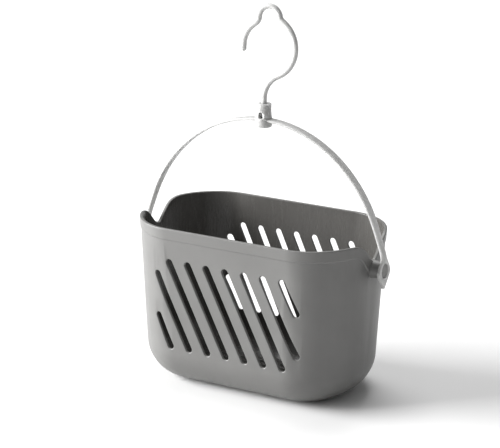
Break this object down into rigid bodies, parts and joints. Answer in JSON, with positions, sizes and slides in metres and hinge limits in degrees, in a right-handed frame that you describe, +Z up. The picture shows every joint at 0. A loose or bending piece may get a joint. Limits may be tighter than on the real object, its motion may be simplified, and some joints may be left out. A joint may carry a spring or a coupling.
{
  "type": "hanging shower caddy",
  "caption": "Slotted plastic basket with rounded corners, hung from an arched band handle that folds to either side and a swivelling hook on top, for draining and carrying shower items.",
  "frame": {"origin": "middle of the basket's underside, on the surface that it stands on", "axes": "+Z up through the hub and the hook's stem, +X along the basket's long side and the handle's pivot axis, +Y across the basket towards its back"},
  "size_m": [0.23, 0.13, 0.3245],
  "materials": {
    "grey_plastic": "satin moulded polypropylene, mid grey",
    "white_plastic": "satin moulded plastic, white"
  },
  "bodies": {
    "basket": {"basket": "grey_plastic"},
    "handle": {"handle": "white_plastic"},
    "hook": {"hook": "white_plastic"}
  },
  "joints": [
    {"name": "handle_swing", "type": "hinge", "parent": "basket", "child": "handle", "pos_m": [0, 0, 0.1144], "axis": [1, 0, 0], "range_deg": [-120, 120]},
    {"name": "hook_swivel", "type": "hinge", "parent": "handle", "child": "hook", "pos_m": [0, 0, 0.2406], "axis": [0, 0, 1], "continuous": true}
  ]
}
